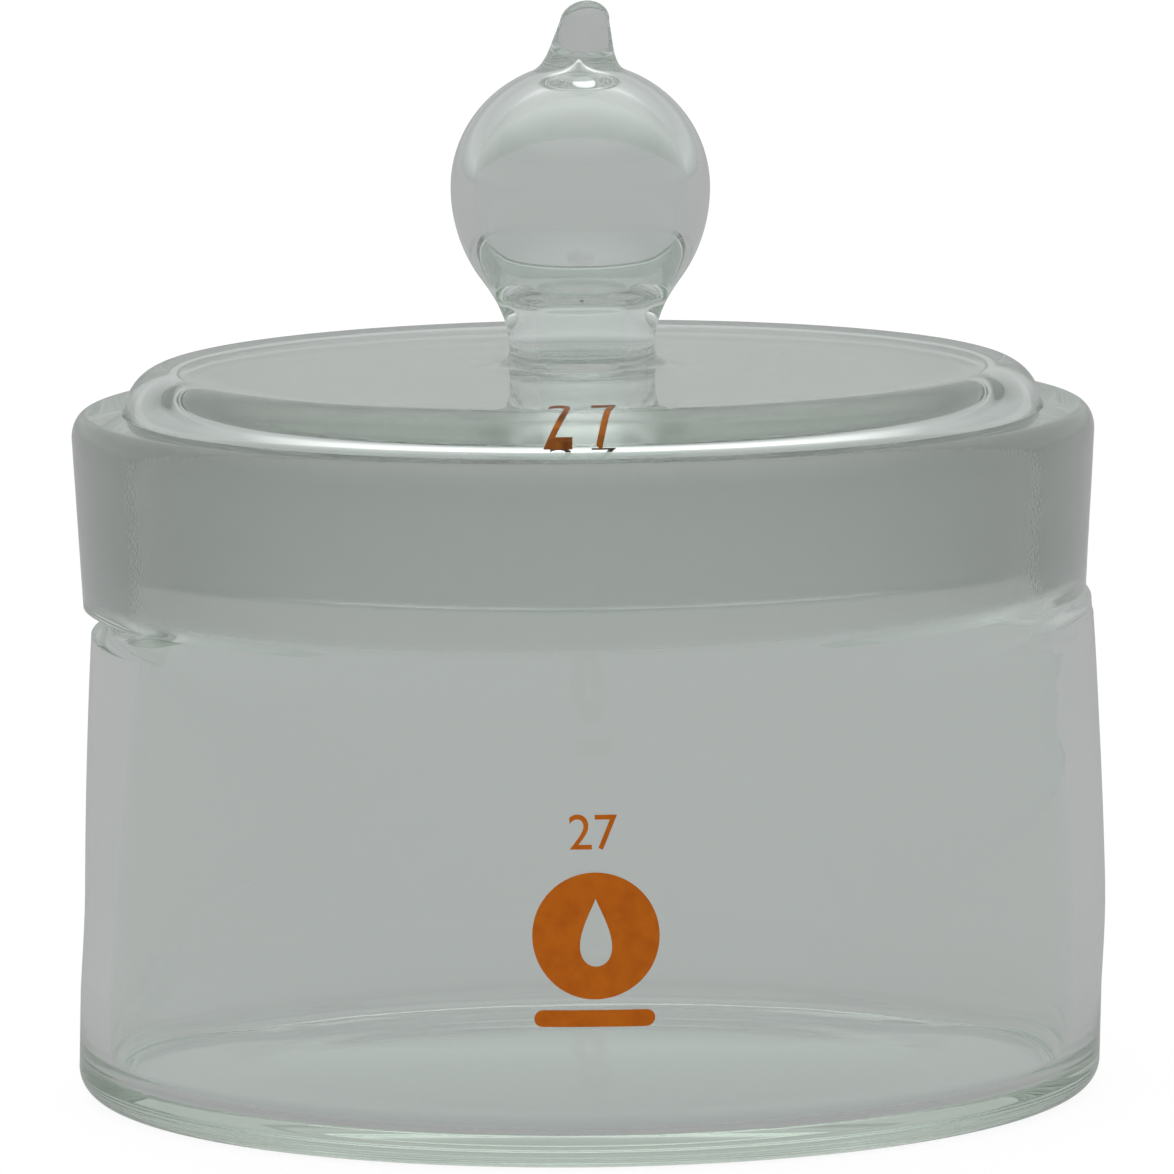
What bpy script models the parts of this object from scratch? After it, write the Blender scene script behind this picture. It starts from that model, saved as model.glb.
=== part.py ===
"""Low-form weighing bottle with a hollow ground-in stopper.

Two loose pieces of clear borosilicate glass, both round about the Z axis:
  bottle_body  the cup: flat foot, slightly barrelled wall, groove, ground conical neck
  stopper      the blown lid: ground conical skirt, flat top, stem, ball knob and sealed tip

Metres, +Z up, origin at the centre of the foot, on the surface that the bottle stands on.
An outline is a list of (radius, height) points, turned about Z by revolve().
"""
import math

import bmesh
import bpy

# ---- driving dimensions (metres) ---------------------------------------------------------
FACETS = 60                      # flats round every turned surface

BODY_RADIUS = 0.0250             # widest part of the wall
BODY_HEIGHT = 0.0334             # foot to ground rim
WALL = 0.0015
BASE_THICKNESS = 0.00135

WIDEST_LEVEL = 0.0050            # height of the widest part of the barrelled wall
SHOULDER_LEVEL = 0.0226          # where the wall ends, just under the groove
SHOULDER_RADIUS = 0.02445
GROOVE_DEPTH = 0.0006            # round-bottomed groove between wall and neck
FOOT_CORNER = 0.0013             # outer radius between wall and foot
INNER_CORNER = 0.00125           # radius between inner wall and inner floor
PUNT_RADIUS = 0.0160             # the middle of the base is pushed up inside this circle
PUNT_RISE = 0.00035

NECK_FOOT_LEVEL = 0.0240         # lower end of the neck's outer face
NECK_FOOT_RADIUS = 0.02446
CONE_FOOT_LEVEL = 0.0247         # lower end of its ground cone, where the inner wall stops thickening
RIM_RADIUS = 0.02490
RIM_ROUNDING = 0.0008            # reach of the rim's elliptical rounding across and down
RIM_DROP = 0.00115
RIM_CHAMFER = 0.00012

GROUND_TAPER = 0.05              # radius gained for each unit of height, a 1 in 10 cone
SEAT_RADIUS = 0.02235            # neck's ground cone at the level of the rim
RUNNING_GAP = 0.00005            # radial gap between the two ground faces

SKIRT_DEPTH = 0.0073             # how far the stopper reaches below the rim
SKIRT_WALL = 0.0017
SKIRT_EDGE = 0.0003
TOP_RISE = 0.0021                # stopper's flat top above the rim
TOP_CORNER = 0.0021
TOP_THICKNESS = 0.0019
INNER_TOP_CORNER = 0.0007

STEM_RADIUS = 0.00355
STEM_FOOT = 0.0007               # radius between stem and flat top
STEM_BORE = 0.0022
BORE_FLARE = 0.0005              # rounding at each end of the bore
BALL_RADIUS = 0.00631
BALL_LEVEL = 0.04413             # height of the knob's widest circle
BALL_RISE = 0.00608              # half height of the knob above that circle
BALL_DROP = 0.0070               # half height of the knob below it, where it runs into the stem
BALL_WALL = 0.0011
HOLLOW_TOP_ANGLE = 66.0          # degrees above the widest circle where the hollow runs into the tip
HOLLOW_TIP_LEVEL = 0.0502
NECKING_ANGLE = -40.0            # degrees below the widest circle where the ball meets its necking
NECKING_SOFTNESS = 0.9           # how far the necking runs on down the stem, as a share of its own fall
TIP_ROOT_RADIUS = 0.0023         # sealed-off tip where it leaves the ball
TIP_FOOT_RADIUS = 0.0018         # where the tip's straight side would meet the ball
TIP_SOFTNESS = 0.45              # how far its fillet runs up that side, as a share
TIP_NOSE_RADIUS = 0.0012
TIP_NOSE_LEVEL = 0.0522
TIP_LEVEL = 0.0532               # top of the whole piece

CLEAR_GLASS = (0.86, 0.90, 0.87, 1.0)
GLASS_ROUGHNESS = 0.03


# ---- outline tools -----------------------------------------------------------------------
def arc(centre, radii, start, end, segments):
    """Points on an ellipse arc, both ends included; angles in degrees from +radius to +height."""
    points = []
    for step in range(segments + 1):
        angle = math.radians(start + (end - start) * step / segments)
        points.append((centre[0] + radii[0] * math.cos(angle), centre[1] + radii[1] * math.sin(angle)))
    return points


def bend(start, corner, end, segments):
    """Points on a curve that leaves start towards a corner and arrives at end from it; both ends included."""
    points = []
    for step in range(segments + 1):
        share = step / segments
        pulls = ((1.0 - share) ** 2, 2.0 * share * (1.0 - share), share ** 2)
        radius = sum(pull * point[0] for pull, point in zip(pulls, (start, corner, end)))
        height = sum(pull * point[1] for pull, point in zip(pulls, (start, corner, end)))
        points.append((radius, height))
    return points


def barrel_radius(height):
    """Outer radius of the wall: a parabola that narrows from the widest level up to the shoulder."""
    climb = max(0.0, height - WIDEST_LEVEL) / (SHOULDER_LEVEL - WIDEST_LEVEL)
    return BODY_RADIUS - (BODY_RADIUS - SHOULDER_RADIUS) * climb * climb


def seat_radius(height):
    """Radius of the neck's ground cone."""
    return SEAT_RADIUS - GROUND_TAPER * (BODY_HEIGHT - height)


def inner_radius(height):
    """Inner radius of the wall, which thickens evenly from the widest level up to the ground cone."""
    climb = (height - WIDEST_LEVEL) / (CONE_FOOT_LEVEL - WIDEST_LEVEL)
    thickening = barrel_radius(CONE_FOOT_LEVEL) - WALL - seat_radius(CONE_FOOT_LEVEL)
    return barrel_radius(height) - WALL - thickening * climb


def punt_height(radius):
    """How far the middle of the base is pushed up at a radius."""
    return PUNT_RISE * (1.0 - min(1.0, radius / PUNT_RADIUS) ** 2)


def even_steps(low, high, segments):
    """Values from low to high in equal steps, both ends included."""
    return [low + (high - low) * step / segments for step in range(segments + 1)]


def revolve(name, outline, material):
    """Turn an outline that starts and ends on the Z axis into one closed solid."""
    mesh = bpy.data.meshes.new(name)
    shape = bmesh.new()
    verts = [shape.verts.new((radius, 0.0, height)) for radius, height in outline]
    edges = [shape.edges.new(pair) for pair in zip(verts, verts[1:])]
    bmesh.ops.spin(
        shape,
        geom=verts + edges,
        axis=(0.0, 0.0, 1.0),
        cent=(0.0, 0.0, 0.0),
        angle=2.0 * math.pi,
        steps=FACETS,
    )
    bmesh.ops.remove_doubles(shape, verts=shape.verts, dist=1e-6)
    bmesh.ops.recalc_face_normals(shape, faces=shape.faces)
    shape.to_mesh(mesh)
    shape.free()
    mesh.shade_smooth()
    mesh.set_sharp_from_angle(angle=math.radians(35.0))
    mesh.materials.append(material)
    part = bpy.data.objects.new(name, mesh)
    bpy.context.scene.collection.objects.link(part)
    return part


def glass(name):
    """Clear glass with the faint grey-green of a thick edge."""
    material = bpy.data.materials.new(name)
    material.use_nodes = True
    shader = material.node_tree.nodes["Principled BSDF"]
    shader.inputs["Base Color"].default_value = CLEAR_GLASS
    shader.inputs["Metallic"].default_value = 0.0
    shader.inputs["Roughness"].default_value = GLASS_ROUGHNESS
    shader.inputs["Transmission Weight"].default_value = 1.0
    return material


# ---- bottle body -------------------------------------------------------------------------
def body_inside():
    """Floor centre, floor, inner corner, wall and ground cone, going up."""
    floor_edge = barrel_radius(WIDEST_LEVEL) - WALL - INNER_CORNER
    outline = []
    for radius in even_steps(0.0, PUNT_RADIUS, 3):
        outline.append((radius, BASE_THICKNESS + punt_height(radius)))
    corner_centre = (floor_edge, BASE_THICKNESS + INNER_CORNER)
    outline += arc(corner_centre, (INNER_CORNER, INNER_CORNER), -90.0, 0.0, 4)
    for height in even_steps(WIDEST_LEVEL, CONE_FOOT_LEVEL, 8):
        outline.append((inner_radius(height), height))
    outline.append((seat_radius(BODY_HEIGHT - RIM_CHAMFER), BODY_HEIGHT - RIM_CHAMFER))
    outline.append((SEAT_RADIUS + RIM_CHAMFER, BODY_HEIGHT))
    return outline


def body_outside():
    """Rim, neck, groove, wall, foot corner and underside, going down to the axis."""
    rim_centre = (RIM_RADIUS - RIM_ROUNDING, BODY_HEIGHT - RIM_DROP)
    outline = arc(rim_centre, (RIM_ROUNDING, RIM_DROP), 90.0, 0.0, 4)
    outline.append((NECK_FOOT_RADIUS, NECK_FOOT_LEVEL))
    groove_centre = (SHOULDER_RADIUS, (NECK_FOOT_LEVEL + SHOULDER_LEVEL) / 2.0)
    groove_radii = (GROOVE_DEPTH, (NECK_FOOT_LEVEL - SHOULDER_LEVEL) / 2.0)
    outline += arc(groove_centre, groove_radii, 90.0, 270.0, 6)[1:-1]
    for height in reversed(even_steps(WIDEST_LEVEL, SHOULDER_LEVEL, 6)):
        outline.append((barrel_radius(height), height))
    corner_centre = (BODY_RADIUS - FOOT_CORNER, FOOT_CORNER)
    outline += arc(corner_centre, (FOOT_CORNER, FOOT_CORNER), 0.0, -90.0, 5)
    for radius in even_steps(PUNT_RADIUS, 0.0, 3):
        outline.append((radius, punt_height(radius)))
    return outline


# ---- stopper -----------------------------------------------------------------------------
def knob_outside():
    """Tip, ball, necking and stem, going down to the stopper's flat top."""
    outline = [(0.0, TIP_LEVEL)]
    nose = (TIP_NOSE_RADIUS, TIP_LEVEL - TIP_NOSE_LEVEL)
    outline += arc((0.0, TIP_NOSE_LEVEL), nose, 60.0, 0.0, 3)
    foot_level = BALL_LEVEL + BALL_RISE * math.sqrt(1.0 - (TIP_FOOT_RADIUS / BALL_RADIUS) ** 2)
    fillet_top = (
        TIP_FOOT_RADIUS + (TIP_NOSE_RADIUS - TIP_FOOT_RADIUS) * TIP_SOFTNESS,
        foot_level + (TIP_NOSE_LEVEL - foot_level) * TIP_SOFTNESS,
    )
    start = math.degrees(math.acos(TIP_ROOT_RADIUS / BALL_RADIUS))
    ball_top = arc((0.0, BALL_LEVEL), (BALL_RADIUS, BALL_RISE), start, 0.0, 6)
    outline += bend(fillet_top, (TIP_FOOT_RADIUS, foot_level), ball_top[0], 3)
    outline += ball_top[1:]
    outline += arc((0.0, BALL_LEVEL), (BALL_RADIUS, BALL_DROP), 0.0, NECKING_ANGLE, 5)[1:]
    necking = outline[-1]
    angle = math.radians(NECKING_ANGLE)
    slope = BALL_DROP * math.cos(angle) / (BALL_RADIUS * -math.sin(angle))
    fall = (necking[0] - STEM_RADIUS) * slope
    corner = (STEM_RADIUS, necking[1] - fall)
    stem_top = (STEM_RADIUS, corner[1] - NECKING_SOFTNESS * fall)
    outline += bend(necking, corner, stem_top, 4)[1:]
    return outline


def cap_outside():
    """Stem foot, flat top, rounded shoulder, ground cone and lower edge, going down."""
    top = BODY_HEIGHT + TOP_RISE
    cone_top = SEAT_RADIUS - RUNNING_GAP
    skirt_low = BODY_HEIGHT - SKIRT_DEPTH
    skirt_radius = cone_top - GROUND_TAPER * SKIRT_DEPTH
    foot_centre = (STEM_RADIUS + STEM_FOOT, top + STEM_FOOT)
    outline = arc(foot_centre, (STEM_FOOT, STEM_FOOT), 180.0, 270.0, 3)
    shoulder_centre = (cone_top - TOP_CORNER, top - TOP_CORNER)
    outline += arc(shoulder_centre, (TOP_CORNER, TOP_CORNER), 90.0, 0.0, 5)
    outline.append((skirt_radius + GROUND_TAPER * SKIRT_EDGE, skirt_low + SKIRT_EDGE))
    outline.append((skirt_radius - SKIRT_EDGE, skirt_low))
    return outline


def stopper_inside():
    """Skirt, underside of the top, bore and the hollow of the knob, going up to the axis."""
    top_under = BODY_HEIGHT + TOP_RISE - TOP_THICKNESS
    skirt_low = BODY_HEIGHT - SKIRT_DEPTH
    inner_low = SEAT_RADIUS - RUNNING_GAP - GROUND_TAPER * SKIRT_DEPTH - SKIRT_WALL
    outline = [(inner_low + SKIRT_EDGE, skirt_low), (inner_low, skirt_low + SKIRT_EDGE)]
    corner_centre = (inner_low - INNER_TOP_CORNER, top_under - INNER_TOP_CORNER)
    outline += arc(corner_centre, (INNER_TOP_CORNER, INNER_TOP_CORNER), 0.0, 90.0, 3)
    bore_low = (STEM_BORE + BORE_FLARE, top_under + BORE_FLARE)
    outline += arc(bore_low, (BORE_FLARE, BORE_FLARE), 270.0, 180.0, 2)
    hollow = (BALL_RADIUS - BALL_WALL, BALL_DROP - BALL_WALL)
    start = -math.degrees(math.acos((STEM_BORE + BORE_FLARE) / hollow[0]))
    hollow_low = arc((0.0, BALL_LEVEL), hollow, start, 0.0, 6)
    outline.append((STEM_BORE, hollow_low[0][1] - BORE_FLARE))
    outline += hollow_low
    outline += arc((0.0, BALL_LEVEL), (hollow[0], BALL_RISE - BALL_WALL), 0.0, HOLLOW_TOP_ANGLE, 6)[1:]
    outline.append((0.0, HOLLOW_TIP_LEVEL))
    return outline


def clear_scene():
    """Start from an empty scene."""
    for item in list(bpy.data.objects):
        bpy.data.objects.remove(item, do_unlink=True)


def build():
    """Make the two glass pieces."""
    clear_scene()
    revolve("bottle_body", body_inside() + body_outside(), glass("bottle_glass"))
    revolve("stopper", knob_outside() + cap_outside() + stopper_inside(), glass("stopper_glass"))


build()
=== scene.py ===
"""Looks of the low-form weighing bottle: clear and ground glass, enamel marks, studio.

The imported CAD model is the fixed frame. Both glass pieces are made again here as finely turned
meshes with the same dimensions, because glass shows every flat of a coarse mesh. Metres, +Z up.
"""
import math

import bmesh
import bpy
import numpy as np
from mathutils import Matrix, Vector


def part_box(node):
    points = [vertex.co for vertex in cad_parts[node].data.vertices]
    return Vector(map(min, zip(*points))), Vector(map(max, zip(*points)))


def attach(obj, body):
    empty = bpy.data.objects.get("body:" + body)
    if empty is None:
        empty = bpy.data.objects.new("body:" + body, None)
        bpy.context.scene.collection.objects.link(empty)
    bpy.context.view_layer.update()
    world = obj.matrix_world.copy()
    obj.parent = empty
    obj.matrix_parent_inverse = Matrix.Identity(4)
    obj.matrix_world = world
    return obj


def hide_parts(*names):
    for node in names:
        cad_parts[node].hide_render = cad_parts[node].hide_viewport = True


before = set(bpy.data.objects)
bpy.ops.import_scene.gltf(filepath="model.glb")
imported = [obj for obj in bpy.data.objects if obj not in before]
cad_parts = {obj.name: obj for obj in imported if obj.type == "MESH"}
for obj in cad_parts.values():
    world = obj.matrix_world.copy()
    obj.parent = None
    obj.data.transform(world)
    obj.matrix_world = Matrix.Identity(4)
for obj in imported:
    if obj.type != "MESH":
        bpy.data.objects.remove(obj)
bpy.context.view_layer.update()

MM = 0.001
SEGMENTS = 240                       # facets round each turned surface
CREASE_ANGLE = math.radians(32.0)    # sharper edges than this are shaded as creases
SAME_POINT = 1e-7                    # points nearer than this are one

# ---- dimensions, the same as the CAD solids ------------------------------------------------
body_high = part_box("bottle_body")[1]         # a box is its low corner and its high corner
stopper_low, stopper_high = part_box("stopper")
BODY_RADIUS = body_high.x
RIM_LEVEL = body_high.z
SKIRT_LEVEL = stopper_low.z
TIP_LEVEL = stopper_high.z
SEAT_GAP = 0.05 * MM                 # radial gap between the two ground cones
SEAT_RADIUS = stopper_high.x + SEAT_GAP
GROUND_TAPER = 0.05                  # radius gained for each unit of height

WALL = 1.5 * MM
BASE_THICKNESS = 1.35 * MM
WIDEST_LEVEL = 5.0 * MM
SHOULDER_LEVEL = 22.6 * MM
SHOULDER_RADIUS = 24.45 * MM
GROOVE_DEPTH = 0.6 * MM
NECK_FOOT_LEVEL = 24.0 * MM
NECK_FOOT_RADIUS = 24.46 * MM
CONE_FOOT_LEVEL = 24.7 * MM          # lower end of the neck's ground cone
FOOT_CORNER = 1.3 * MM
INNER_CORNER = 1.25 * MM
PUNT_RADIUS = 16.0 * MM
PUNT_RISE = 0.35 * MM
RIM_RADIUS = 24.90 * MM
RIM_ROUNDING = 0.8 * MM
RIM_DROP = 1.15 * MM
RIM_CHAMFER = 0.12 * MM

TOP_LEVEL = RIM_LEVEL + 2.1 * MM
TOP_CORNER = 2.1 * MM
TOP_THICKNESS = 1.9 * MM
INNER_TOP_CORNER = 0.7 * MM
SKIRT_WALL = 1.7 * MM
SKIRT_EDGE = 0.3 * MM
STEM_RADIUS = 3.55 * MM
STEM_FOOT = 0.7 * MM
STEM_BORE = 2.2 * MM
BORE_FLARE = 0.5 * MM
BALL_LEVEL = 44.13 * MM
BALL_RADIUS = 6.31 * MM
BALL_RISE = 6.08 * MM
BALL_DROP = 7.0 * MM
BALL_WALL = 1.1 * MM
NECKING_ANGLE = -40.0                # degrees from the ball's widest circle
NECKING_SOFTNESS = 0.9
HOLLOW_TOP_ANGLE = 66.0              # degrees from the ball's widest circle
HOLLOW_TIP_LEVEL = 50.2 * MM
HOLLOW_TIP_RADIUS = 0.5 * MM         # where the hollow turns up into the tip
TIP_ROOT_RADIUS = 2.3 * MM
TIP_FOOT_RADIUS = 1.8 * MM
TIP_NOSE_RADIUS = 1.2 * MM
TIP_NOSE_LEVEL = 52.2 * MM
TIP_SOFTNESS = 0.45

# ---- what only the looks have ----------------------------------------------------------------
GROUND_TOP_LEVEL = RIM_LEVEL - 0.55 * MM    # both cones are left clear above this
CLEAR, DULL, GROUND = 0.0, 0.3, 1.0         # how far a point's surface is matt

CUP_LEAN = 0.36 * MM                 # how far the cup stands to the right of its neck
CUP_LEAN_START = 2.0 * MM
CUP_LEAN_FULL = 10.0 * MM
CUP_LEAN_FADE = 13.0 * MM
CUP_LEAN_STEP = 23.3 * MM            # at the two sides the lean ends in the groove, above this
NECK_LIFT = 0.31 * MM                # the neck's foot is twice this higher at the right
NECK_LIFT_LOW = (17.0 * MM, 22.0 * MM)      # the lift sets in over these heights, and dies out over
NECK_LIFT_HIGH = (25.0 * MM, 31.0 * MM)     # these
GROOVE_REACH = math.radians(32.0)    # how far the groove runs to either side of left and right
GROOVE_ONE_SIDED = 0.86              # how much deeper it is at the left, and shallower at the right
TIP_LEAN = 0.42 * MM
TIP_LEAN_LEVEL = 49.9 * MM


# ---- outline tools ---------------------------------------------------------------------------
def smooth(low, high, value):
    """0 below low, 1 above high, an S between them."""
    share = np.clip((value - low) / (high - low), 0.0, 1.0)
    return share * share * (3.0 - 2.0 * share)


def levels(low, high, segments):
    """Values from low to high in equal steps, both ends included."""
    return [low + (high - low) * step / segments for step in range(segments + 1)]


def arc(centre, radii, start, end, segments):
    """Points on an ellipse arc, both ends included; angles in degrees from +radius to +height."""
    points = []
    for step in range(segments + 1):
        angle = math.radians(start + (end - start) * step / segments)
        points.append((centre[0] + radii[0] * math.cos(angle), centre[1] + radii[1] * math.sin(angle)))
    return points


def line(start, end, segments):
    """Points on a straight stretch, both ends included."""
    return list(zip(levels(start[0], end[0], segments), levels(start[1], end[1], segments)))


def bend(start, corner, end, segments):
    """Points on a quadratic curve that leaves start towards the corner and reaches end from it."""
    points = []
    for step in range(segments + 1):
        share = step / segments
        pulls = ((1 - share) ** 2, 2 * share * (1 - share), share ** 2)
        radius = sum(pull * point[0] for pull, point in zip(pulls, (start, corner, end)))
        height = sum(pull * point[1] for pull, point in zip(pulls, (start, corner, end)))
        points.append((radius, height))
    return points


def barrel_radius(height):
    """Outer radius of the wall: a parabola that narrows from the widest level up to the shoulder."""
    climb = max(0.0, height - WIDEST_LEVEL) / (SHOULDER_LEVEL - WIDEST_LEVEL)
    return BODY_RADIUS - (BODY_RADIUS - SHOULDER_RADIUS) * climb * climb


def seat_point(height, gap=0.0):
    """A point on the neck's ground cone, or on the stopper's with the gap between them."""
    return SEAT_RADIUS - gap - GROUND_TAPER * (RIM_LEVEL - height), height


def inner_radius(height):
    """Inner radius of the wall, which thickens evenly from the widest level up to the ground cone."""
    climb = (height - WIDEST_LEVEL) / (CONE_FOOT_LEVEL - WIDEST_LEVEL)
    thickening = barrel_radius(CONE_FOOT_LEVEL) - WALL - seat_point(CONE_FOOT_LEVEL)[0]
    return barrel_radius(height) - WALL - thickening * climb


def punt_height(radius):
    """How far the middle of the base is pushed up at a radius."""
    share = min(1.0, radius / PUNT_RADIUS)
    return PUNT_RISE * (1.0 - share * share)


class Outline:
    """A turned profile: (radius, height) points in order, and how matt the surface is at each."""

    def __init__(self):
        self.points = []
        self.finish = []

    def add(self, points, finish=CLEAR):
        """Append points with one finish; a point that repeats the last one is left out."""
        for point in points:
            if self.points and math.dist(self.points[-1], point) < SAME_POINT:
                continue
            self.points.append(point)
            self.finish.append(finish)


def turned_faces(rows):
    """Faces of a turned surface: rows of SEGMENTS points, then its first and its last point."""
    first, last = rows * SEGMENTS, rows * SEGMENTS + 1
    faces = []
    for column in range(SEGMENTS):
        after = (column + 1) % SEGMENTS
        faces.append((first, column, after))
        for row in range(rows - 1):
            low, high = row * SEGMENTS, (row + 1) * SEGMENTS
            faces.append((low + column, high + column, high + after, low + after))
        low = (rows - 1) * SEGMENTS
        faces.append((low + column, last, low + after))
    return faces


def revolve(name, outline, out_of_true):
    """Turn an outline that starts and ends on the Z axis into one closed, smooth mesh.

    out_of_true(radius, height, turn) gives the new radius, the sideways lean and the lift of
    points. A turn of 0 is the front, and a quarter turn is the right.
    """
    radii = np.array([point[0] for point in outline.points])
    heights = np.array([point[1] for point in outline.points])
    rows = len(radii) - 2
    ring = np.append(np.repeat(np.arange(1, rows + 1), SEGMENTS), (0, rows + 1))
    turn = np.append(np.tile(np.arange(SEGMENTS) * 2.0 * math.pi / SEGMENTS, rows), (0.0, 0.0))
    radius, lean, lift = out_of_true(radii[ring], heights[ring], turn)
    points = np.stack([radius * np.sin(turn) + lean, -radius * np.cos(turn), heights[ring] + lift], axis=-1)
    mesh = bpy.data.meshes.new(name)
    mesh.from_pydata([tuple(point) for point in points], [], turned_faces(rows))
    ground = mesh.attributes.new("ground", "FLOAT", "POINT")
    ground.data.foreach_set("value", np.array(outline.finish)[ring])
    shape = bmesh.new()
    shape.from_mesh(mesh)
    bmesh.ops.recalc_face_normals(shape, faces=shape.faces)
    shape.to_mesh(mesh)
    shape.free()
    mesh.shade_smooth()
    mesh.set_sharp_from_angle(angle=CREASE_ANGLE)
    piece = bpy.data.objects.new(name, mesh)
    bpy.context.scene.collection.objects.link(piece)
    return piece


# ---- bottle ------------------------------------------------------------------------------------
def bottle_inside(outline):
    """Floor centre, floor, inner corner, wall and ground cone, going up."""
    floor_edge = BODY_RADIUS - WALL - INNER_CORNER
    outline.add([(r, BASE_THICKNESS + punt_height(r)) for r in levels(0.0, floor_edge, 26)])
    corner_centre = (floor_edge, BASE_THICKNESS + INNER_CORNER)
    outline.add(arc(corner_centre, (INNER_CORNER, INNER_CORNER), -90.0, 0.0, 12))
    outline.add([(inner_radius(h), h) for h in levels(WIDEST_LEVEL, CONE_FOOT_LEVEL, 30)[:-1]])
    outline.add(line(seat_point(CONE_FOOT_LEVEL), seat_point(GROUND_TOP_LEVEL), 10), GROUND)


def bottle_outside(outline):
    """Rim, neck, groove, wall, foot corner and underside, going down to the axis."""
    outline.add([seat_point(RIM_LEVEL - RIM_CHAMFER), (SEAT_RADIUS + RIM_CHAMFER, RIM_LEVEL)])
    rim_centre = (RIM_RADIUS - RIM_ROUNDING, RIM_LEVEL - RIM_DROP)
    outline.add(arc(rim_centre, (RIM_ROUNDING, RIM_DROP), 90.0, 0.0, 12))
    outline.add(line((RIM_RADIUS, RIM_LEVEL - RIM_DROP), (NECK_FOOT_RADIUS, NECK_FOOT_LEVEL), 8))
    groove_centre = (SHOULDER_RADIUS, (NECK_FOOT_LEVEL + SHOULDER_LEVEL) / 2)
    groove_radii = (GROOVE_DEPTH, (NECK_FOOT_LEVEL - SHOULDER_LEVEL) / 2)
    outline.add(arc(groove_centre, groove_radii, 90.0, 270.0, 16))
    outline.add([(barrel_radius(h), h) for h in reversed(levels(WIDEST_LEVEL, SHOULDER_LEVEL, 18))])
    corner_centre = (BODY_RADIUS - FOOT_CORNER, FOOT_CORNER)
    outline.add(arc(corner_centre, (FOOT_CORNER, FOOT_CORNER), 0.0, -90.0, 14))
    outline.add([(r, punt_height(r)) for r in levels(PUNT_RADIUS, 0.0, 12)])


def cup_lean(height, at_side=0.0):
    """Sideways lean of the hand-finished cup: it dies out slowly, and at the two sides in the groove."""
    lean = CUP_LEAN * smooth(CUP_LEAN_START, CUP_LEAN_FULL, height)
    gradual = 1.0 - smooth(CUP_LEAN_FADE, CONE_FOOT_LEVEL, height)
    sudden = 1.0 - smooth(CUP_LEAN_STEP, NECK_FOOT_LEVEL, height)
    return lean * (gradual + (sudden - gradual) * at_side)


def cup_out_of_true(radius, height, turn):
    """Radius, lean and lift on the cup: its groove is deep at the left, faint and higher at the right."""
    middle = (NECK_FOOT_LEVEL + SHOULDER_LEVEL) / 2
    half = (NECK_FOOT_LEVEL - SHOULDER_LEVEL) / 2
    in_groove = np.sqrt(np.clip(1.0 - ((height - middle) / half) ** 2, 0.0, 1.0))
    in_groove = np.where(radius > BODY_RADIUS - WALL, in_groove, 0.0)
    from_front = np.abs(np.arctan2(np.sin(turn), np.cos(turn)))
    from_side = np.abs(from_front - math.pi / 2)
    at_side = 1.0 - smooth(0.0, GROOVE_REACH, from_side)
    cut = at_side * (1.0 - GROOVE_ONE_SIDED * np.sin(turn))
    neck_foot = smooth(*NECK_LIFT_LOW, height) * (1.0 - smooth(*NECK_LIFT_HIGH, height))
    lift = NECK_LIFT * neck_foot * np.sin(turn) * (1.0 + np.sin(turn))
    return radius + GROOVE_DEPTH * in_groove * (1.0 - cut), cup_lean(height, at_side), lift


def bottle_glass():
    """The cup."""
    outline = Outline()
    bottle_inside(outline)
    bottle_outside(outline)
    return revolve("bottle_glass", outline, cup_out_of_true)


# ---- stopper -----------------------------------------------------------------------------------
def stopper_knob(outline):
    """Tip, ball, necking, stem and the stem's foot, going down to the flat top."""
    nose = (TIP_NOSE_RADIUS, TIP_LEVEL - TIP_NOSE_LEVEL)
    outline.add(arc((0.0, TIP_NOSE_LEVEL), nose, 90.0, 0.0, 8))
    root = math.degrees(math.acos(TIP_ROOT_RADIUS / BALL_RADIUS))
    ball_top = arc((0.0, BALL_LEVEL), (BALL_RADIUS, BALL_RISE), root, 0.0, 20)
    foot_level = BALL_LEVEL + BALL_RISE * math.sqrt(1.0 - (TIP_FOOT_RADIUS / BALL_RADIUS) ** 2)
    side = (
        TIP_FOOT_RADIUS + (TIP_NOSE_RADIUS - TIP_FOOT_RADIUS) * TIP_SOFTNESS,
        foot_level + (TIP_NOSE_LEVEL - foot_level) * TIP_SOFTNESS,
    )
    outline.add(line((TIP_NOSE_RADIUS, TIP_NOSE_LEVEL), side, 6))
    outline.add(bend(side, (TIP_FOOT_RADIUS, foot_level), ball_top[0], 8))
    outline.add(ball_top)
    ball_low = arc((0.0, BALL_LEVEL), (BALL_RADIUS, BALL_DROP), 0.0, NECKING_ANGLE, 16)
    outline.add(ball_low)
    necking = ball_low[-1]
    angle = math.radians(NECKING_ANGLE)
    slope = BALL_DROP * math.cos(angle) / (BALL_RADIUS * -math.sin(angle))
    fall = (necking[0] - STEM_RADIUS) * slope
    stem_top = (STEM_RADIUS, necking[1] - (1.0 + NECKING_SOFTNESS) * fall)
    outline.add(bend(necking, (STEM_RADIUS, necking[1] - fall), stem_top, 10))
    foot_centre = (STEM_RADIUS + STEM_FOOT, TOP_LEVEL + STEM_FOOT)
    outline.add(line(stem_top, (STEM_RADIUS, foot_centre[1]), 4))
    outline.add(arc(foot_centre, (STEM_FOOT, STEM_FOOT), 180.0, 270.0, 8))


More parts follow.
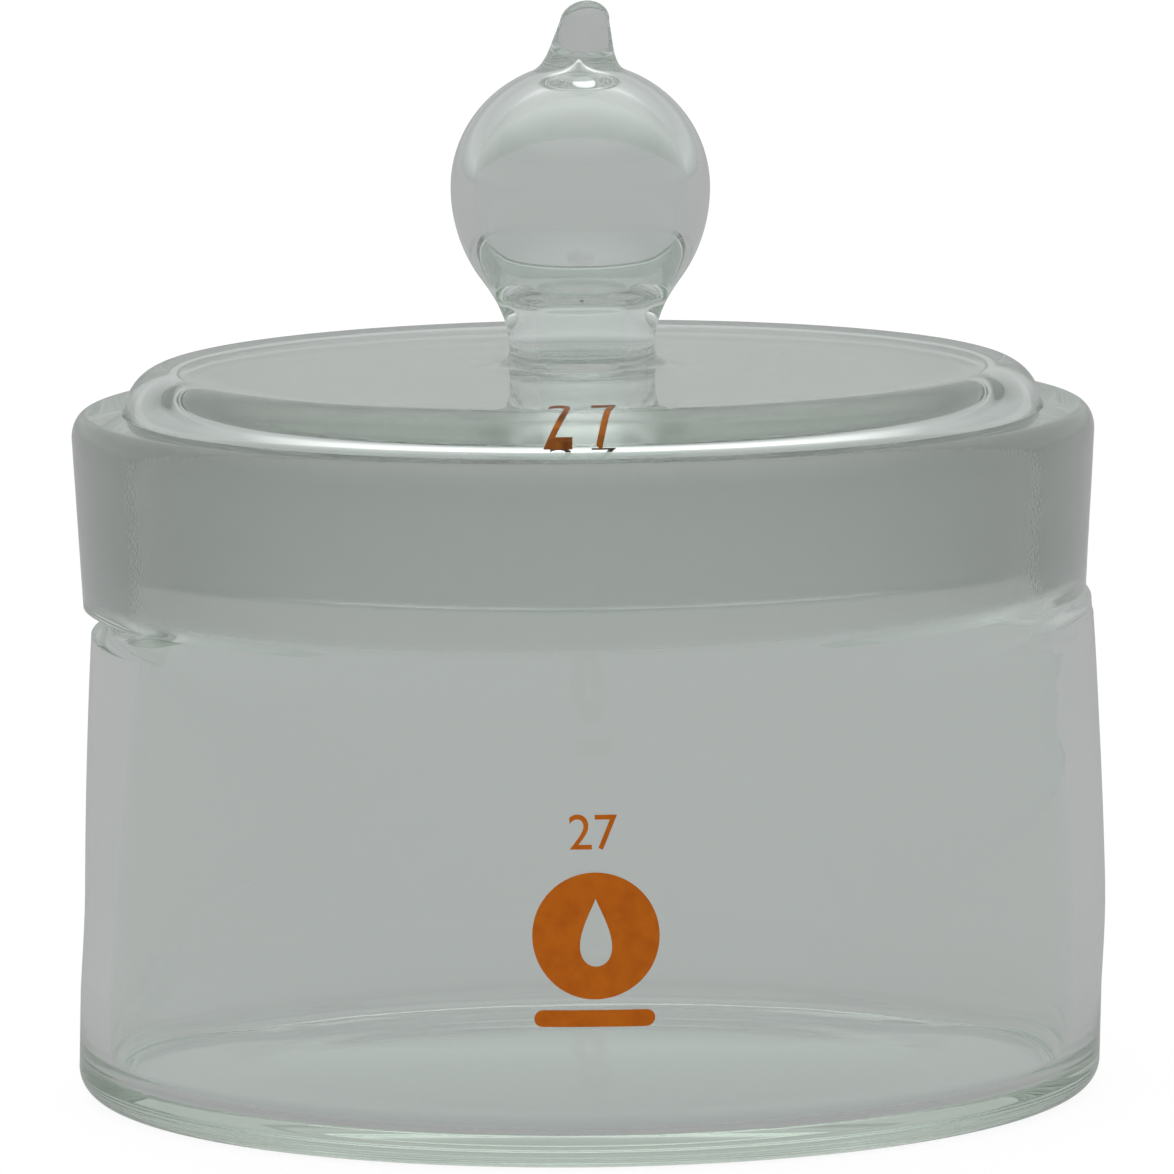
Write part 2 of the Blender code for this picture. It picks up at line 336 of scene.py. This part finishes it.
def stopper_cap(outline):
    """Flat top, rounded shoulder, ground cone and lower edge, going down."""
    cone_top = SEAT_RADIUS - SEAT_GAP
    shoulder = cone_top - TOP_CORNER
    outline.add(line((STEM_RADIUS + STEM_FOOT, TOP_LEVEL), (shoulder, TOP_LEVEL), 12))
    outline.add(arc((shoulder, TOP_LEVEL - TOP_CORNER), (TOP_CORNER, TOP_CORNER), 90.0, 0.0, 16))
    outline.add([(cone_top, RIM_LEVEL)])
    cone_low = seat_point(SKIRT_LEVEL + SKIRT_EDGE, SEAT_GAP)
    outline.add(line(seat_point(GROUND_TOP_LEVEL, SEAT_GAP), cone_low, 10), GROUND)
    outline.add([(seat_point(SKIRT_LEVEL, SEAT_GAP)[0] - SKIRT_EDGE, SKIRT_LEVEL)])


def stopper_inside(outline):
    """Skirt, underside of the top, bore and the hollow of the knob, going up to the axis."""
    inner = seat_point(SKIRT_LEVEL, SEAT_GAP)[0] - SKIRT_WALL
    under = TOP_LEVEL - TOP_THICKNESS
    corner = inner - INNER_TOP_CORNER
    outline.add([(inner + SKIRT_EDGE, SKIRT_LEVEL), (inner, SKIRT_LEVEL + SKIRT_EDGE)])
    outline.add(line((inner, SKIRT_LEVEL + SKIRT_EDGE), (inner, under - INNER_TOP_CORNER), 8))
    corner_radii = (INNER_TOP_CORNER, INNER_TOP_CORNER)
    outline.add(arc((corner, under - INNER_TOP_CORNER), corner_radii, 0.0, 90.0, 10))
    flare = STEM_BORE + BORE_FLARE
    outline.add(line((corner, under), (flare, under), 10), DULL)
    outline.add(arc((flare, under + BORE_FLARE), (BORE_FLARE, BORE_FLARE), 270.0, 180.0, 8))
    hollow = (BALL_RADIUS - BALL_WALL, BALL_DROP - BALL_WALL)
    start = -math.degrees(math.acos(flare / hollow[0]))
    hollow_low = arc((0.0, BALL_LEVEL), hollow, start, 0.0, 18)
    bore_top = (STEM_BORE, hollow_low[0][1] - BORE_FLARE)
    outline.add(line((STEM_BORE, under + BORE_FLARE), bore_top, 4))
    outline.add(bend(bore_top, (STEM_BORE, hollow_low[0][1]), hollow_low[1], 5))
    outline.add(hollow_low[1:])
    hollow_rise = BALL_RISE - BALL_WALL
    outline.add(arc((0.0, BALL_LEVEL), (hollow[0], hollow_rise), 0.0, HOLLOW_TOP_ANGLE, 16))
    turn_up = (HOLLOW_TIP_RADIUS, BALL_LEVEL + hollow_rise)
    outline.add(bend(outline.points[-1], turn_up, (0.0, HOLLOW_TIP_LEVEL), 8))


def tip_out_of_true(radius, height, turn):
    """Radius, lean and lift on the stopper: the sealed-off tip was pulled to the right."""
    climb = np.clip((height - TIP_LEAN_LEVEL) / (TIP_LEVEL - TIP_LEAN_LEVEL), 0.0, 1.0)
    return radius, TIP_LEAN * climb, 0.0


def stopper_glass():
    """The lid."""
    outline = Outline()
    stopper_knob(outline)
    stopper_cap(outline)
    stopper_inside(outline)
    return revolve("stopper_glass", outline, tip_out_of_true)


# ---- materials ---------------------------------------------------------------------------------
MIX_SOCKETS = {"FLOAT": ("A", "B", "Result"), "RGBA": (6, 7, 2)}    # low, high and result of a Mix node


def new_material(name):
    """A node material; returns it with its node tree and Principled shader."""
    material = bpy.data.materials.new(name)
    material.use_nodes = True
    tree = material.node_tree
    return material, tree, tree.nodes["Principled BSDF"]


def noise(tree, scale, detail=3.0, stretch=(1.0, 1.0, 1.0)):
    """3-D noise in the object's own coordinates; returns its value socket."""
    coordinates = tree.nodes.new("ShaderNodeTexCoord")
    mapping = tree.nodes.new("ShaderNodeMapping")
    mapping.inputs["Scale"].default_value = stretch
    texture = tree.nodes.new("ShaderNodeTexNoise")
    texture.inputs["Scale"].default_value = scale
    texture.inputs["Detail"].default_value = detail
    tree.links.new(coordinates.outputs["Object"], mapping.inputs["Vector"])
    tree.links.new(mapping.outputs["Vector"], texture.inputs["Vector"])
    return texture.outputs["Fac"]


def ramp(tree, value, low, high):
    """Map a 0 to 1 value to low..high."""
    node = tree.nodes.new("ShaderNodeMapRange")
    node.inputs["To Min"].default_value = low
    node.inputs["To Max"].default_value = high
    tree.links.new(value, node.inputs["Value"])
    return node.outputs["Result"]


def bump(tree, shader, height, strength, distance):
    """Feed a height value to the shader's normal."""
    node = tree.nodes.new("ShaderNodeBump")
    node.inputs["Strength"].default_value = strength
    node.inputs["Distance"].default_value = distance
    tree.links.new(height, node.inputs["Height"])
    tree.links.new(node.outputs["Normal"], shader.inputs["Normal"])


def mix_by(tree, share, low, high, kind="FLOAT"):
    """What runs from low to high with share; each is a socket, or a number or RGBA colour as kind says."""
    node = tree.nodes.new("ShaderNodeMix")
    node.data_type = kind
    tree.links.new(share, node.inputs["Factor"])
    low_socket, high_socket, result = MIX_SOCKETS[kind]
    for socket, value in ((node.inputs[low_socket], low), (node.inputs[high_socket], high)):
        if isinstance(value, bpy.types.NodeSocket):
            tree.links.new(value, socket)
        else:
            socket.default_value = value
    return node.outputs[result]


def seen_by_camera(tree):
    """1 for rays straight from the camera, 0 for all others."""
    return tree.nodes.new("ShaderNodeLightPath").outputs["Is Camera Ray"]


def borosilicate():
    """Laboratory glass: fire-polished where it is clear, finely matt where the cones are ground."""
    material, tree, shader = new_material("borosilicate")
    shader.inputs["IOR"].default_value = 1.47
    finish = tree.nodes.new("ShaderNodeAttribute")
    finish.attribute_name = "ground"
    ground = finish.outputs["Fac"]
    clear_tint, ground_tint = (0.963, 0.99, 0.978, 1.0), (0.980, 0.996, 0.974, 1.0)
    tree.links.new(mix_by(tree, ground, clear_tint, ground_tint, "RGBA"), shader.inputs["Base Color"])
    turning_marks = ramp(tree, noise(tree, 900.0, 4.0, (1.0, 1.0, 4.0)), 0.36, 0.54)
    tree.links.new(mix_by(tree, ground, 0.0, turning_marks), shader.inputs["Roughness"])
    tree.links.new(mix_by(tree, ground, 1.0, 0.82), shader.inputs["Transmission Weight"])
    ripple = noise(tree, 120.0, 2.0, (1.0, 1.0, 3.0))
    grain = noise(tree, 6000.0, 2.0)
    bump(tree, shader, mix_by(tree, ground, ripple, grain), 0.02, 0.0002)
    body = tree.nodes.new("ShaderNodeVolumeAbsorption")
    body.inputs["Color"].default_value = (0.9948, 0.9964, 0.9949, 1.0)
    body.inputs["Density"].default_value = 900.0
    tree.links.new(body.outputs["Volume"], tree.nodes["Material Output"].inputs["Volume"])
    return material


def fired_enamel(name, thin, thick):
    """Enamel fired onto the glass: its colour runs between a thin and a thick coat, slightly glossy."""
    material, tree, shader = new_material(name)
    patches = noise(tree, 1500.0, 4.0)
    colour = tree.nodes.new("ShaderNodeValToRGB")
    for element, position, coat in zip(colour.color_ramp.elements, (0.30, 0.72), (thick, thin)):
        element.position = position
        element.color = coat
    tree.links.new(patches, colour.inputs["Fac"])
    tree.links.new(colour.outputs["Color"], shader.inputs["Base Color"])
    tree.links.new(ramp(tree, patches, 0.30, 0.5), shader.inputs["Roughness"])
    shader.inputs["Specular IOR Level"].default_value = 0.15
    bump(tree, shader, noise(tree, 5000.0, 3.0), 0.3, 0.00002)
    return material


# ---- enamel marks --------------------------------------------------------------------------------
ENAMEL_TOP = 0.04 * MM               # the enamel's two faces, above the glass
ENAMEL_UNDERSIDE = 0.01 * MM
ENAMEL_STEP = 0.25 * MM              # spacing of the cuts that let a flat mark bend round the glass

PAIR_WORDS = "27"                    # the number that pairs cup and stopper
PAIR_HEIGHT, PAIR_LEVEL = 1.67 * MM, 16.1 * MM
DISC_RADIUS, DROP_SIZE, DISC_LEVEL = 3.0 * MM, 1.7 * MM, 11.2 * MM
BAR_WIDTH, BAR_HEIGHT, BAR_LEVEL = 5.7 * MM, 0.8 * MM, 7.3 * MM
STOPPER_NUMBER_HEIGHT = 4.4 * MM
STOPPER_NUMBER_START = 2.6 * MM      # its middle, measured over the shoulder from the rim
STOPPER_SPACING, STOPPER_NARROWING = 1.45, 0.5


def flat_text(words, height, spacing=1.0, narrowing=1.0):
    """A filled text outline in the XY plane, centred, scaled to a height and narrowed across."""
    curve = bpy.data.curves.new("digits", "FONT")
    curve.body = words
    curve.space_character = spacing
    curve.resolution_u = 6
    text = bpy.data.objects.new("digits", curve)
    bpy.context.scene.collection.objects.link(text)
    bpy.context.view_layer.update()
    mesh = bpy.data.meshes.new_from_object(text.evaluated_get(bpy.context.evaluated_depsgraph_get()))
    bpy.data.objects.remove(text)
    shape = bmesh.new()
    shape.from_mesh(mesh)
    bpy.data.meshes.remove(mesh)
    points = np.array([vert.co for vert in shape.verts])
    low, high = points.min(0), points.max(0)
    scale = height / (high[1] - low[1])
    for vert in shape.verts:
        across = (vert.co.x - (low[0] + high[0]) / 2) * scale * narrowing
        vert.co = Vector((across, (vert.co.y - (low[1] + high[1]) / 2) * scale, 0.0))
    return shape


def flat_loops(loops):
    """A filled flat outline with holes: the first loop is the outside."""
    shape = bmesh.new()
    edges = []
    for loop in loops:
        verts = [shape.verts.new((x, y, 0.0)) for x, y in loop]
        for index, vert in enumerate(verts):
            edges.append(shape.edges.new((vert, verts[(index + 1) % len(verts)])))
    bmesh.ops.triangle_fill(shape, use_beauty=True, use_dissolve=False, edges=edges)
    return shape


def circle(radius, count=64):
    """Points round a circle."""
    turns = np.linspace(0, 2 * math.pi, count, endpoint=False)
    return [(radius * math.cos(turn), radius * math.sin(turn)) for turn in turns]


def drop(size, count=48):
    """A plain drop, round below and pointed above."""
    half_width, sharpness = size * 0.62, 1.4
    half_height, rise = 0.95, 0.1
    points = []
    for turn in np.linspace(0, 2 * math.pi, count, endpoint=False):
        across = half_width * math.sin(turn) * math.sin(turn / 2) ** sharpness
        points.append((across, size * (math.cos(turn) * half_height + rise)))
    return points


def bar(width, height, count=8):
    """A bar with rounded ends."""
    radius = height / 2
    middle = width / 2 - radius
    turns = np.linspace(-math.pi / 2, math.pi / 2, count)
    right = [(middle + radius * math.cos(turn), radius * math.sin(turn)) for turn in turns]
    return right + [(-x, -y) for x, y in right]


def cut_into_cells(shape):
    """Cut a flat mark into small cells that all face up, so that it can bend."""
    for axis, normal in enumerate((Vector((1.0, 0.0, 0.0)), Vector((0.0, 1.0, 0.0)))):
        reach = int(max(abs(vert.co[axis]) for vert in shape.verts) / ENAMEL_STEP)
        for step in range(-reach - 1, reach + 2):
            bmesh.ops.bisect_plane(
                shape,
                geom=shape.verts[:] + shape.edges[:] + shape.faces[:],
                plane_co=normal * step * ENAMEL_STEP,
                plane_no=normal,
            )
    bmesh.ops.remove_doubles(shape, verts=shape.verts, dist=SAME_POINT)
    bmesh.ops.triangulate(shape, faces=shape.faces)
    for face in shape.faces:
        if face.normal.z < 0:
            face.normal_flip()


def open_edges(shape):
    """The outline's edges as pairs of point numbers, each in the order of the face that it bounds."""
    pairs = []
    for edge in shape.edges:
        if len(edge.link_faces) == 1:
            order = [vert.index for vert in edge.link_faces[0].verts]
            start, end = edge.verts[0].index, edge.verts[1].index
            ahead = order[(order.index(start) + 1) % len(order)] == end
            pairs.append((start, end) if ahead else (end, start))
    return pairs


def wrap(name, shape, place):
    """Give a flat mark thickness and lay it on the glass with place(x, y, lift)."""
    cut_into_cells(shape)
    shape.verts.index_update()
    flat = [tuple(vert.co[:2]) for vert in shape.verts]
    faces = [[vert.index for vert in face.verts] for face in shape.faces]
    rims = open_edges(shape)
    shape.free()
    count = len(flat)
    points = [place(x, y, ENAMEL_UNDERSIDE) for x, y in flat] + [place(x, y, ENAMEL_TOP) for x, y in flat]
    solid = [list(reversed(face)) for face in faces] + [[index + count for index in face] for face in faces]
    solid += [[start, end, end + count, start + count] for start, end in rims]
    mesh = bpy.data.meshes.new(name)
    mesh.from_pydata(points, [], solid)
    mesh.validate()
    mark = bpy.data.objects.new(name, mesh)
    bpy.context.scene.collection.objects.link(mark)
    return mark


def on_wall(level):
    """Place a flat mark upright on the cup's front, centred at a height."""
    def place(x, y, lift):
        height = level + y
        radius = barrel_radius(height) + lift
        turn = x / radius
        lean = float(cup_lean(height))
        return (radius * math.sin(turn) + lean, -radius * math.cos(turn), height)
    return place


def on_shoulder(start):
    """Place a flat mark over the stopper's rounded shoulder; start is the arc length from the rim."""
    cone_top = SEAT_RADIUS - SEAT_GAP
    quarter = TOP_CORNER * math.pi / 2

    def place(x, y, lift):
        along = start + y
        if along <= quarter:
            angle = along / TOP_CORNER
            radius = cone_top - TOP_CORNER + (TOP_CORNER + lift) * math.cos(angle)
            height = TOP_LEVEL - TOP_CORNER + (TOP_CORNER + lift) * math.sin(angle)
        else:
            radius = cone_top - TOP_CORNER - (along - quarter)
            height = TOP_LEVEL + lift
        turn = x / cone_top
        return (radius * math.sin(turn), -radius * math.cos(turn), height)
    return place


def enamel_marks():
    """The four marks, each with the body that it moves with and its enamel."""
    amber = fired_enamel("amber_enamel", (0.52, 0.130, 0.004, 1.0), (0.44, 0.098, 0.003, 1.0))
    brown = fired_enamel("brown_enamel", (0.34, 0.100, 0.006, 1.0), (0.10, 0.026, 0.003, 1.0))
    pair_number = flat_text(PAIR_WORDS, PAIR_HEIGHT)
    disc = flat_loops([circle(DISC_RADIUS), drop(DROP_SIZE)])
    plain_bar = flat_loops([bar(BAR_WIDTH, BAR_HEIGHT)])
    stopper_number = flat_text(PAIR_WORDS, STOPPER_NUMBER_HEIGHT, STOPPER_SPACING, STOPPER_NARROWING)
    return (
        (wrap("pair_number", pair_number, on_wall(PAIR_LEVEL)), "bottle", amber),
        (wrap("round_mark", disc, on_wall(DISC_LEVEL)), "bottle", amber),
        (wrap("bar_mark", plain_bar, on_wall(BAR_LEVEL)), "bottle", amber),
        (wrap("stopper_number", stopper_number, on_shoulder(STOPPER_NUMBER_START)), "lid", brown),
    )


# ---- studio ----------------------------------------------------------------------------------------
FLOOR_RADIUS = 3.0
FLOOR_LEVEL = -0.02 * MM             # just clear of the foot
FLOOR_GLOW, FLOOR_GLOW_SEEN = 0.34, 0.92    # to the glass, and straight to the camera
BACKDROP = (0.97, 0.97, 0.97, 1.0)          # straight to the camera
SURROUNDINGS = (                            # to the glass: height of the direction, colour
    (0.0, (0.40, 0.42, 0.41, 1.0)),
    (0.12, (0.57, 0.59, 0.58, 1.0)),
    (0.30, (0.50, 0.52, 0.51, 1.0)),
    (0.55, (0.56, 0.58, 0.57, 1.0)),
    (0.75, (1.00, 1.02, 1.01, 1.0)),
    (1.0, (1.38, 1.40, 1.39, 1.0)),
)
KEY_PLACE = (-0.20, -0.75, 1.05)
KEY_SIZE = 1.50
KEY_POWER = 8.0
KEY_TARGET = (0, 0, 0.025)


def pale_floor():
    """A pale floor that glows less towards the glass than towards the camera."""
    bpy.ops.mesh.primitive_circle_add(
        vertices=96, radius=FLOOR_RADIUS, fill_type="NGON", location=(0, 0, FLOOR_LEVEL)
    )
    floor = bpy.context.object
    floor.name = "floor"
    material, tree, shader = new_material("floor")
    shader.inputs["Base Color"].default_value = (0.05, 0.05, 0.05, 1.0)
    shader.inputs["Roughness"].default_value = 0.9
    shader.inputs["Emission Color"].default_value = (1.0, 1.0, 1.0, 1.0)
    glow = mix_by(tree, seen_by_camera(tree), FLOOR_GLOW, FLOOR_GLOW_SEEN)
    tree.links.new(glow, shader.inputs["Emission Strength"])
    floor.data.materials.append(material)


def surroundings():
    """Light from all round, palest overhead, behind a backdrop that only the camera sees."""
    world = bpy.data.worlds.new("studio")
    bpy.context.scene.world = world
    world.use_nodes = True
    tree = world.node_tree
    background = tree.nodes["Background"]
    background.inputs["Strength"].default_value = 1.0
    coordinates = tree.nodes.new("ShaderNodeTexCoord")
    split = tree.nodes.new("ShaderNodeSeparateXYZ")
    colours = tree.nodes.new("ShaderNodeValToRGB")
    tree.links.new(coordinates.outputs["Generated"], split.inputs["Vector"])
    tree.links.new(split.outputs["Z"], colours.inputs["Fac"])
    stops = colours.color_ramp.elements
    for stop, (position, colour) in zip(stops, (SURROUNDINGS[0], SURROUNDINGS[-1])):
        stop.position = position
        stop.color = colour
    for position, colour in SURROUNDINGS[1:-1]:
        stops.new(position).color = colour
    seen = mix_by(tree, seen_by_camera(tree), colours.outputs["Color"], BACKDROP, "RGBA")
    tree.links.new(seen, background.inputs["Color"])


def key_light():
    """A large softbox above the front left, which leaves no bright patch in the glass."""
    light = bpy.data.lights.new("key", "AREA")
    light.shape = "RECTANGLE"
    light.size = light.size_y = KEY_SIZE
    light.energy = KEY_POWER
    lamp = bpy.data.objects.new("key", light)
    bpy.context.scene.collection.objects.link(lamp)
    lamp.location = KEY_PLACE
    lamp.rotation_euler = (Vector(KEY_TARGET) - Vector(KEY_PLACE)).to_track_quat("-Z", "Y").to_euler()
    lamp.visible_glossy = lamp.visible_transmission = False


CAMERA_DISTANCE = 0.5816
CAMERA_ELEVATION = math.radians(7.118)
CAMERA_ROLL = math.radians(-0.607)
CAMERA_LENS, CAMERA_SENSOR = 365.5, 36.0    # in mm, as the camera takes them
AIM_LEVEL = 0.4887 * TIP_LEVEL              # the height that the camera's distance is measured from
AIM_RIGHT, AIM_DOWN = 0.119 * MM, 1.470 * MM


def camera():
    """Long lens, a little above the object, turned a touch so that the bottle leans as seen."""
    aim = Vector((0.0, 0.0, AIM_LEVEL))
    data = bpy.data.cameras.new("camera")
    data.lens = CAMERA_LENS
    data.sensor_width = CAMERA_SENSOR
    data.clip_start = 0.01
    data.clip_end = 20.0
    eye = bpy.data.objects.new("camera", data)
    bpy.context.scene.collection.objects.link(eye)
    back = Vector((0.0, -math.cos(CAMERA_ELEVATION), math.sin(CAMERA_ELEVATION)))
    up = Vector((0.0, math.sin(CAMERA_ELEVATION), math.cos(CAMERA_ELEVATION)))
    right = Vector((1.0, 0.0, 0.0))
    eye.location = aim + CAMERA_DISTANCE * back
    target = aim + AIM_RIGHT * right - AIM_DOWN * up
    facing = (target - eye.location).to_track_quat("-Z", "Y").to_matrix().to_4x4()
    eye.matrix_world = Matrix.Translation(eye.location) @ facing @ Matrix.Rotation(CAMERA_ROLL, 4, "Z")
    bpy.context.scene.camera = eye


GLASS_BOUNCES = 160                  # fewer leave black patches where light is caught in the rim
DIFFUSE_BOUNCES = 32


def light_paths():
    """Enough bounces for light to leave the thick glass, and colours shown as they are."""
    bpy.context.scene.view_settings.view_transform = "Standard"
    settings = bpy.context.scene.cycles
    settings.max_bounces = GLASS_BOUNCES
    settings.transmission_bounces = GLASS_BOUNCES
    settings.glossy_bounces = GLASS_BOUNCES
    settings.diffuse_bounces = DIFFUSE_BOUNCES


# ---- assembly ----------------------------------------------------------------------------------------
def main():
    """Put glass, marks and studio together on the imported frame."""
    glass = borosilicate()
    for piece, body, node, slot in (
        (bottle_glass(), "bottle", "bottle_body", "clear_glass"),
        (stopper_glass(), "lid", "stopper", "stopper_glass"),
    ):
        piece.data.materials.append(glass)
        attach(piece, body)
        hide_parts(node)
    for mark, body, enamel in enamel_marks():
        mark.data.materials.append(enamel)
        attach(mark, body)
    pale_floor()
    surroundings()
    key_light()
    camera()
    light_paths()


main()
